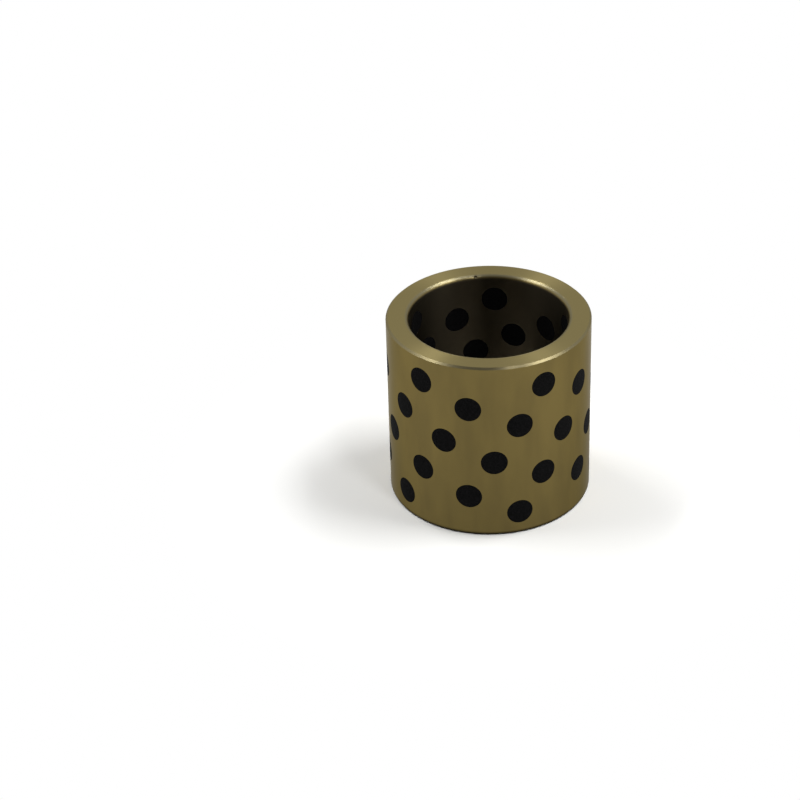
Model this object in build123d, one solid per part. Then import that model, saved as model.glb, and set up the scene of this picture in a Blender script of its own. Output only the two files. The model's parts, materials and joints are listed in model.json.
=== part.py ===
from build123d import *

import os
from math import cos, radians, sin

# Self-lubricating plain bushing: a turned bronze sleeve with solid graphite
# plugs glued into holes drilled through its wall. Millimetres, +Z up. The origin
# is the centre of the lower end face, so the sleeve stands on that end.

# Sleeve
bore_diameter = 49.0
wall_thickness = 7.0
length = 60.0
outer_chamfer = 0.6        # 45 degree break on the outer edge of both ends
bore_edge_radius = 1.5     # lead-in rounding on the bore edge of both ends

# Graphite plugs, flush with the bore and with the outside
plug_diameter = 8.1
glue_film = 0.05           # radial gap between a plug and its drilled hole
rows = 8                   # rings of plugs, one above the other
plugs_per_row = 5
top_row_depth = 8.4        # from the upper end face to the centres of the top ring
bottom_row_height = 7.85   # from the lower end face to the centres of the bottom ring
top_row_angle = -130.6     # first plug of the top ring, from +X
row_twist = 28.8           # each ring is turned this much from the one above it

# Nick knocked into the rounding of the upper bore edge
nick_angle = 99.0          # from +X
nick_slope = 50.0          # 0 is where the rounding meets the end face, 90 where it meets the bore
nick_radius = 0.5
nick_depth = 0.3

bore_radius = bore_diameter / 2
outer_radius = bore_radius + wall_thickness
hole_radius = plug_diameter / 2 + glue_film
row_pitch = (length - top_row_depth - bottom_row_height) / (rows - 1)
drill_overrun = 2.0        # how far a drill cutter stands past the wall, each side


def plug_place(row, index):
    """Frame on the sleeve's axis at a plug's height, with local Z pointing out along the plug."""
    angle = top_row_angle + row * row_twist + index * 360 / plugs_per_row
    height = length - top_row_depth - row * row_pitch
    outward = (cos(radians(angle)), sin(radians(angle)), 0)
    return Plane(origin=(0, 0, height), x_dir=(0, 0, 1), z_dir=outward)


def radial_rod(place, radius, start, end):
    """Round rod along a plug's direction, from one distance from the axis to another."""
    rod = Cylinder(radius, end - start, align=(Align.CENTER, Align.CENTER, Align.MIN))
    return place * Pos(0, 0, start) * rod


def turned_sleeve():
    """The plain ring as it comes off the lathe."""
    section = Pos((bore_radius + outer_radius) / 2, length / 2) * Rectangle(wall_thickness, length)
    bore_corners = section.vertices().sort_by(Axis.X)[:2]
    section = fillet(bore_corners, bore_edge_radius)
    outer_corners = section.vertices().sort_by(Axis.X)[-2:]
    section = chamfer(outer_corners, outer_chamfer)
    return revolve(Plane.XZ * section, Axis.Z)


def drilled(sleeve):
    """The sleeve with a hole through its wall for every plug."""
    start = bore_radius - drill_overrun
    end = outer_radius + drill_overrun
    holes = [
        radial_rod(plug_place(row, index), hole_radius, start, end)
        for row in range(rows)
        for index in range(plugs_per_row)
    ]
    return sleeve - holes


def nicked(sleeve):
    """The sleeve with a small round dent in the rounding of its upper bore edge."""
    reach = bore_edge_radius - nick_depth + nick_radius
    across = bore_radius + bore_edge_radius - reach * sin(radians(nick_slope))
    height = length - bore_edge_radius + reach * cos(radians(nick_slope))
    return sleeve - Rot(0, 0, nick_angle) * Pos(across, 0, height) * Sphere(nick_radius)


def plug(row, index):
    """One graphite plug, its two ends cut to the curves of the bore and of the outside."""
    start = bore_radius - drill_overrun
    end = outer_radius + drill_overrun
    rod = radial_rod(plug_place(row, index), plug_diameter / 2, start, end)
    outside = Cylinder(outer_radius, length, align=(Align.CENTER, Align.CENTER, Align.MIN))
    bore = Cylinder(bore_radius, length, align=(Align.CENTER, Align.CENTER, Align.MIN))
    return (rod & outside) - bore


def write(node, shape):
    export_step(shape, f"parts/{node}.step")


os.makedirs("parts", exist_ok=True)
write("bushing_sleeve", nicked(drilled(turned_sleeve())))
for row in range(rows):
    for index in range(plugs_per_row):
        write(f"plug_ring{row + 1}_{index + 1}", plug(row, index))
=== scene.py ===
import json
from math import cos, pi, radians, sin

import bmesh
import bpy
from mathutils import Matrix, Vector


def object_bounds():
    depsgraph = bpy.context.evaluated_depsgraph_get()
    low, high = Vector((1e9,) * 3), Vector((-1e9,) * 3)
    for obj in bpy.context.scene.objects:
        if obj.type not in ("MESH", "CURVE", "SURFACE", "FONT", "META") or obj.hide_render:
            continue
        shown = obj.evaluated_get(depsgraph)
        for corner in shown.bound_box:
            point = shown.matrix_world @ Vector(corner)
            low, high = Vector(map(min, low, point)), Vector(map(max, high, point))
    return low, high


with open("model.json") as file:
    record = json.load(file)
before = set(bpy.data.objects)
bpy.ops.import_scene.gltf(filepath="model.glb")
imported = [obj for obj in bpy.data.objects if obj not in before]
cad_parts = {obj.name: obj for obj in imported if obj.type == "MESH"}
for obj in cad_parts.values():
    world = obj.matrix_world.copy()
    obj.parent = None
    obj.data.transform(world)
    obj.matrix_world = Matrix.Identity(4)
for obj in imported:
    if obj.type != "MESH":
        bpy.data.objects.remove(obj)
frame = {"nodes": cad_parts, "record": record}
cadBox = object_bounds()
print("Frame loaded,", len(frame["nodes"]), "nodes")

mm = 0.001


def linearColour(code):
    # "#736438" as the linear RGBA that the shaders take
    values = [int(code[i:i + 2], 16) / 255 for i in (1, 3, 5)]
    linear = [v / 12.92 if v <= 0.04045 else ((v + 0.055) / 1.055) ** 2.4 for v in values]
    return (*linear, 1.0)


def addNode(tree, kind, settings, links):
    # settings and links are keyed by the socket's name or number, and other keys are properties
    node = tree.nodes.new(kind)
    for key, value in settings.items():
        if isinstance(key, int) or key in node.inputs:
            node.inputs[key].default_value = value
        else:
            setattr(node, key, value)
    for key, source in links.items():
        tree.links.new(source, node.inputs[key])
    return node


def newMaterial(name):
    material = bpy.data.materials.new(name)
    material.use_nodes = True
    material.node_tree.nodes.clear()
    return material, material.node_tree


def addObject(name, data):
    item = bpy.data.objects.new(name, data)
    bpy.context.scene.collection.objects.link(item)
    return item


camera = {
    "place": (0, -0.64114, 0.43311),
    "aim": (-0.027849, 0, 0.029538),
    "roll": -1.81,               # degrees about the view, from level
    "lens": 109.09,              # mm
    "sensor": 36,                # mm wide
    "clip": (0.01, 50),          # metres
}


def makeCamera():
    data = bpy.data.cameras.new("studioCamera")
    data.lens = camera["lens"]
    data.sensor_width = camera["sensor"]
    data.clip_start, data.clip_end = camera["clip"]
    holder = addObject("studioCamera", data)
    place = Vector(camera["place"])
    level = (Vector(camera["aim"]) - place).to_track_quat("-Z", "Y").to_matrix().to_4x4()
    roll = Matrix.Rotation(radians(camera["roll"]), 4, "Z")
    holder.matrix_world = Matrix.Translation(place) @ level @ roll
    bpy.context.scene.camera = holder


studio = {
    "floorColour": "#f0f0ee",
    "floorSize": 12.0,           # metres across
    "glowFrom": 0.045,           # metres from the middle: nearer than this the paper has its own light
    "glowFull": 0.105,           # and further than this the floor is plain white
    "footRadius": 0.0315,        # metres
    "footShade": 0.65,           # floor beside the foot, as metal sees it, growing to white
    "shadeEnd": 0.100,           # metres from the middle
    "surround": 1.00,            # backdrop, as metal sees it
    "behindCamera": 0.05,        # dark room in front of the object, as metal sees it
    "surroundEdge": 0.3,         # the backdrop starts to darken here, where 1 is straight back
    "darkEdge": -0.8,            # and is fully dark here, where -1 is straight to the front
    "fill": 0.35,                # share of the room's light that reaches rough surfaces
}


def backdropRays(tree):
    # 1 where the camera, a mirror or a clear piece looks at the floor or the room
    path = addNode(tree, "ShaderNodeLightPath", {}, {})
    mirrored = addNode(tree, "ShaderNodeMath", {"operation": "MAXIMUM"},
                       {0: path.outputs["Is Glossy Ray"], 1: path.outputs["Is Transmission Ray"]})
    return path.outputs["Is Camera Ray"], mirrored.outputs[0]


def makeFloor():
    shape = bmesh.new()
    bmesh.ops.create_grid(shape, x_segments=1, y_segments=1, size=studio["floorSize"] / 2)
    mesh = bpy.data.meshes.new("studioFloor")
    shape.to_mesh(mesh)
    shape.free()
    floor = addObject("studioFloor", mesh)
    material, tree = newMaterial("mattePaperFloor")
    seen, mirrored = backdropRays(tree)
    coords = addNode(tree, "ShaderNodeTexCoord", {}, {})
    distance = addNode(tree, "ShaderNodeVectorMath", {"operation": "LENGTH"}, {0: coords.outputs["Object"]})
    glow = addNode(tree, "ShaderNodeMapRange",
                   {"interpolation_type": "SMOOTHSTEP", "From Min": studio["glowFrom"],
                    "From Max": studio["glowFull"]},
                   {"Value": distance.outputs["Value"]})
    shown = addNode(tree, "ShaderNodeMath", {"operation": "MULTIPLY"}, {0: seen, 1: glow.outputs[0]})
    outside = addNode(tree, "ShaderNodeMath", {"operation": "GREATER_THAN", 1: studio["footRadius"]},
                      {0: distance.outputs["Value"]})
    reflected = addNode(tree, "ShaderNodeMath", {"operation": "MULTIPLY"},
                        {0: mirrored, 1: outside.outputs[0]})
    share = addNode(tree, "ShaderNodeMath", {"operation": "MAXIMUM"},
                    {0: shown.outputs[0], 1: reflected.outputs[0]})
    shade = addNode(tree, "ShaderNodeMapRange",
                    {"From Min": studio["footRadius"], "From Max": studio["shadeEnd"],
                     "To Min": studio["footShade"]},
                    {"Value": distance.outputs["Value"]})
    strength = addNode(tree, "ShaderNodeMix", {"data_type": "FLOAT", "A": 1.0},
                       {"Factor": mirrored, "B": shade.outputs[0]})
    paper = addNode(tree, "ShaderNodeBsdfDiffuse", {"Color": linearColour(studio["floorColour"])}, {})
    white = addNode(tree, "ShaderNodeEmission", {"Color": (1, 1, 1, 1)},
                    {"Strength": strength.outputs[0]})
    mixed = addNode(tree, "ShaderNodeMixShader", {},
                    {0: share.outputs[0], 1: paper.outputs[0], 2: white.outputs[0]})
    addNode(tree, "ShaderNodeOutputMaterial", {}, {"Surface": mixed.outputs[0]})
    floor.data.materials.append(material)


def makeWorld():
    # bright backdrop behind the object, darker room in front of it
    world = bpy.data.worlds.new("studioRoom")
    bpy.context.scene.world = world
    world.use_nodes = True
    tree = world.node_tree
    tree.nodes.clear()
    seen, mirrored = backdropRays(tree)
    coords = addNode(tree, "ShaderNodeTexCoord", {}, {})
    split = addNode(tree, "ShaderNodeSeparateXYZ", {}, {"Vector": coords.outputs["Generated"]})
    room = addNode(tree, "ShaderNodeMapRange",
                   {"From Min": studio["surroundEdge"], "From Max": studio["darkEdge"],
                    "To Min": studio["surround"], "To Max": studio["behindCamera"]},
                   {"Value": split.outputs["Y"]})
    onRough = addNode(tree, "ShaderNodeMath", {"operation": "MULTIPLY", 1: studio["fill"]},
                      {0: room.outputs[0]})
    lit = addNode(tree, "ShaderNodeMix", {"data_type": "FLOAT"},
                  {"Factor": mirrored, "A": onRough.outputs[0], "B": room.outputs[0]})
    strength = addNode(tree, "ShaderNodeMix", {"data_type": "FLOAT", "B": 1.0},
                       {"Factor": seen, "A": lit.outputs[0]})
    background = addNode(tree, "ShaderNodeBackground", {"Color": (1, 1, 1, 1)},
                         {"Strength": strength.outputs[0]})
    addNode(tree, "ShaderNodeOutputWorld", {}, {"Surface": background.outputs[0]})


softboxes = {
    # side: degrees round from the camera, height: degrees above the floor, sizes in metres
    "softboxLeft": {"side": -111, "height": 59, "wide": 0.87, "tall": 0.25, "radiance": 14.8},
    "softboxRight": {"side": 94, "height": 59, "wide": 0.70, "tall": 0.44, "radiance": 14.3},
    "softboxFront": {"side": 34, "height": 60, "wide": 0.17, "tall": 0.27, "radiance": 15.4},
}
softboxDistance = 1.30           # metres from the object's middle


def makeSoftbox(name):
    box = softboxes[name]
    data = bpy.data.lights.new(name, "AREA")
    data.shape = "RECTANGLE"
    data.size = box["wide"]
    data.size_y = box["tall"]
    data.energy = box["radiance"] * pi * box["wide"] * box["tall"]
    lamp = addObject(name, data)
    across = radians(box["side"])
    up = radians(box["height"])
    direction = Vector((sin(across) * cos(up), -cos(across) * cos(up), sin(up)))
    middle = (cadBox[0] + cadBox[1]) / 2
    turn = direction.to_track_quat("Z", "Y").to_matrix().to_4x4()
    lamp.matrix_world = Matrix.Translation(middle + direction * softboxDistance) @ turn
    lamp.visible_camera = False


bronze = {
    "colour": "#796a3f",
    "patchColour": "#71633c",    # faint darker patches at random, drawn out up the walls to stand in for streaky reflections: partly painted reflection
    "patchSize": (7.0, 7.0, 24.0),  # mm
    "patchLevels": (0.40, 0.65),  # noise levels where a patch starts and is full
    "faceColour": "#7e734e",     # faced ends, greyer than the walls
    "faceStart": 0.90,           # the ends' finish starts where a surface faces this much up or down
    "edgeColour": "#7a735a",     # broken edges, paler and greyer than the walls so that the lamps' highlights on them come out whiter: a painted whitening of those highlights
    "edgeLevels": (0.45, 0.80),  # and the edges' finish starts and is full at these
    "boreColour": "#5f5747",     # bore, darker and greyer than the walls: painted shade inside the bore
    "paintedShadeColour": "#1c1710",    # painted shade in the nick and along the foot
    "paintedFootShadeHeights": (1.3, 0.325),  # mm above the lower end, where the painted shade along the foot fades out and where it is full
    "nickPlace": (-3.95, 24.92, 59.43),  # mm
    "nickReaches": (0.65, 0.325),  # mm from its middle, where the painted shade in it fades out and where it is full
    "nickPaintedShade": 0.7,             # share of full painted shade
    "wallRoughness": 0.30,
    "faceRoughness": 0.28,       # the ends are faced with a finer feed
    "edgeRoughness": 0.41,
    "boreRoughness": 0.30,
    "grazingTint": "#d1cdc1",    # keeps the metal's rim from going white
    "stretch": 0.90,             # how far the tool lines draw highlights out across them
    "lineSpacing": 0.5,          # mm, coarser than the real 0.1 mm feed so that the lines show
    "lineDepth": 0.004,          # mm
    "lineSlant": 1.7,            # lines crossed going out, for each one going up
    "boreShadeEdge": 0.2,             # mm outside the bore's radius, where the bore's painted shade fades out
}


def turnedBronze():
    # Cast manganese bronze, finish turned: dull olive gold, with highlights drawn out across
    # fine lines that run round the axis
    material, tree = newMaterial("turnedManganeseBronze")
    coords = addNode(tree, "ShaderNodeTexCoord", {}, {})
    split = addNode(tree, "ShaderNodeSeparateXYZ", {}, {"Vector": coords.outputs["Object"]})
    flat = addNode(tree, "ShaderNodeVectorMath", {"operation": "MULTIPLY", 1: (1, 1, 0)},
                   {0: coords.outputs["Object"]})
    radius = addNode(tree, "ShaderNodeVectorMath", {"operation": "LENGTH"}, {0: flat.outputs[0]})

    # changes up the walls and across the ends, so that one noise draws the lines on both
    along = addNode(tree, "ShaderNodeMath", {"operation": "MULTIPLY_ADD", 1: -bronze["lineSlant"]},
                    {0: radius.outputs["Value"], 2: split.outputs["Z"]})
    lines = addNode(tree, "ShaderNodeTexNoise",
                    {"noise_dimensions": "1D", "Scale": 1 / (bronze["lineSpacing"] * mm), "Detail": 2.0},
                    {"W": along.outputs[0]})
    bump = addNode(tree, "ShaderNodeBump", {"Strength": 1.0, "Distance": bronze["lineDepth"] * mm},
                   {"Height": lines.outputs[0]})

    # 0 on the walls, then 1 on the broken edges, then 1 on the ends
    upright = addNode(tree, "ShaderNodeSeparateXYZ", {}, {"Vector": coords.outputs["Normal"]})
    facing = addNode(tree, "ShaderNodeMath", {"operation": "ABSOLUTE"}, {0: upright.outputs["Z"]})
    edgeStart, edgeFull = bronze["edgeLevels"]
    broken = addNode(tree, "ShaderNodeMapRange", {"From Min": edgeStart, "From Max": edgeFull},
                     {"Value": facing.outputs[0]})
    ends = addNode(tree, "ShaderNodeMapRange", {"From Min": bronze["faceStart"], "From Max": 1.0},
                   {"Value": facing.outputs[0]})
    # 1 in the bore, which takes the darker bore colour as painted shade
    mounts = {mount["name"]: mount for mount in frame["record"]["mounts"]}
    boreRadius = mounts["bore"]["dims"]["r_mm"]
    inBore = addNode(tree, "ShaderNodeMapRange",
                   {"From Min": (boreRadius + bronze["boreShadeEdge"]) * mm, "From Max": boreRadius * mm},
                   {"Value": radius.outputs["Value"]})

    spread = addNode(tree, "ShaderNodeVectorMath",
                     {"operation": "MULTIPLY", 1: [1 / (size * mm) for size in bronze["patchSize"]]},
                     {0: coords.outputs["Object"]})
    patches = addNode(tree, "ShaderNodeTexNoise", {"Scale": 1.0, "Detail": 2.0, "Roughness": 0.5},
                      {"Vector": spread.outputs[0]})
    patchStart, patchFull = bronze["patchLevels"]
    patchy = addNode(tree, "ShaderNodeMapRange", {"From Min": patchStart, "From Max": patchFull},
                     {"Value": patches.outputs[0]})
    colour = addNode(tree, "ShaderNodeMix",
                     {"data_type": "RGBA", "A": linearColour(bronze["colour"]),
                      "B": linearColour(bronze["patchColour"])},
                     {"Factor": patchy.outputs[0]})
    roughness = addNode(tree, "ShaderNodeValue", {}, {})
    roughness.outputs[0].default_value = bronze["wallRoughness"]
    for mask, name in ((broken, "edge"), (ends, "face"), (inBore, "bore")):
        colour = addNode(tree, "ShaderNodeMix",
                         {"data_type": "RGBA", "B": linearColour(bronze[name + "Colour"])},
                         {"Factor": mask.outputs[0], "A": colour.outputs["Result"]})
        roughness = addNode(tree, "ShaderNodeMix",
                            {"data_type": "FLOAT", "B": bronze[name + "Roughness"]},
                            {"Factor": mask.outputs[0], "A": roughness.outputs[0]})

    # painted shade: 1 low on the foot, standing in for the contact shadow that the lower chamfer mirrors,
    # and part strength in the nick, standing in for the shade in the dent
    footTop, footFull = bronze["paintedFootShadeHeights"]
    foot = addNode(tree, "ShaderNodeMapRange", {"From Min": footTop * mm, "From Max": footFull * mm},
                   {"Value": split.outputs["Z"]})
    nickMiddle = [value * mm for value in bronze["nickPlace"]]
    away = addNode(tree, "ShaderNodeVectorMath", {"operation": "DISTANCE", 1: nickMiddle},
                   {0: coords.outputs["Object"]})
    nickEdge, nickFull = bronze["nickReaches"]
    nick = addNode(tree, "ShaderNodeMapRange",
                   {"From Min": nickEdge * mm, "From Max": nickFull * mm, "To Max": bronze["nickPaintedShade"]},
                   {"Value": away.outputs["Value"]})
    paintedShadeMask = addNode(tree, "ShaderNodeMath", {"operation": "MAXIMUM"},
                    {0: foot.outputs[0], 1: nick.outputs[0]})
    colour = addNode(tree, "ShaderNodeMix",
                     {"data_type": "RGBA", "B": linearColour(bronze["paintedShadeColour"])},
                     {"Factor": paintedShadeMask.outputs[0], "A": colour.outputs["Result"]})

    tangent = addNode(tree, "ShaderNodeTangent", {"direction_type": "RADIAL", "axis": "Z"}, {})
    # the quarter turn draws highlights out across the lines, not along them
    metal = addNode(tree, "ShaderNodeBsdfPrincipled",
                    {"Metallic": 1.0, "Anisotropic": bronze["stretch"], "Anisotropic Rotation": 0.25,
                     "Specular Tint": linearColour(bronze["grazingTint"])},
                    {"Base Color": colour.outputs["Result"], "Roughness": roughness.outputs[0],
                     "Normal": bump.outputs[0], "Tangent": tangent.outputs[0]})
    addNode(tree, "ShaderNodeOutputMaterial", {}, {"Surface": metal.outputs[0]})
    return material


graphite = {
    "colour": "#0f0f0f",
    "fleckColour": "#191819",    # flecks where the flakes lie flat
    "fleckSize": 0.5,            # mm, coarser than the real 0.1 mm flakes so that they show
    "fleckLevels": (0.45, 0.70),  # noise levels where a fleck starts and is full
    "roughness": 0.65,
    "shine": 0.015,              # pores swallow nearly all of the mirror light
    "grainDepth": 0.01,          # mm
}


def pressedGraphite():
    # Pressed graphite, turned flush with the bronze: soft black with fine flecks and a dull sheen
    material, tree = newMaterial("pressedGraphite")
    coords = addNode(tree, "ShaderNodeTexCoord", {}, {})
    flakes = addNode(tree, "ShaderNodeTexNoise",
                     {"Scale": 1 / (graphite["fleckSize"] * mm), "Detail": 3.0},
                     {"Vector": coords.outputs["Object"]})
    fleckStart, fleckFull = graphite["fleckLevels"]
    fleck = addNode(tree, "ShaderNodeMapRange", {"From Min": fleckStart, "From Max": fleckFull},
                    {"Value": flakes.outputs[0]})
    colour = addNode(tree, "ShaderNodeMix",
                     {"data_type": "RGBA", "A": linearColour(graphite["colour"]),
                      "B": linearColour(graphite["fleckColour"])},
                     {"Factor": fleck.outputs[0]})
    grain = addNode(tree, "ShaderNodeBump", {"Strength": 1.0, "Distance": graphite["grainDepth"] * mm},
                    {"Height": flakes.outputs[0]})
    block = addNode(tree, "ShaderNodeBsdfPrincipled",
                    {"Metallic": 0.0, "Roughness": graphite["roughness"],
                     "Specular IOR Level": graphite["shine"]},
                    {"Base Color": colour.outputs["Result"], "Normal": grain.outputs[0]})
    addNode(tree, "ShaderNodeOutputMaterial", {}, {"Surface": block.outputs[0]})
    return material


def dressNodes():
    finishes = {"turned_bronze": turnedBronze(), "graphite": pressedGraphite()}
    for node in frame["nodes"].values():
        for slot in node.material_slots:
            finish = "graphite" if slot.material.name.startswith("graphite") else "turned_bronze"
            slot.material = finishes[finish]


makeCamera()
makeWorld()
makeFloor()
for name in softboxes:
    makeSoftbox(name)
print("Studio ready,", len(softboxes), "softboxes")

dressNodes()
print("Finishes on")

bpy.context.scene.view_settings.view_transform = "Standard"
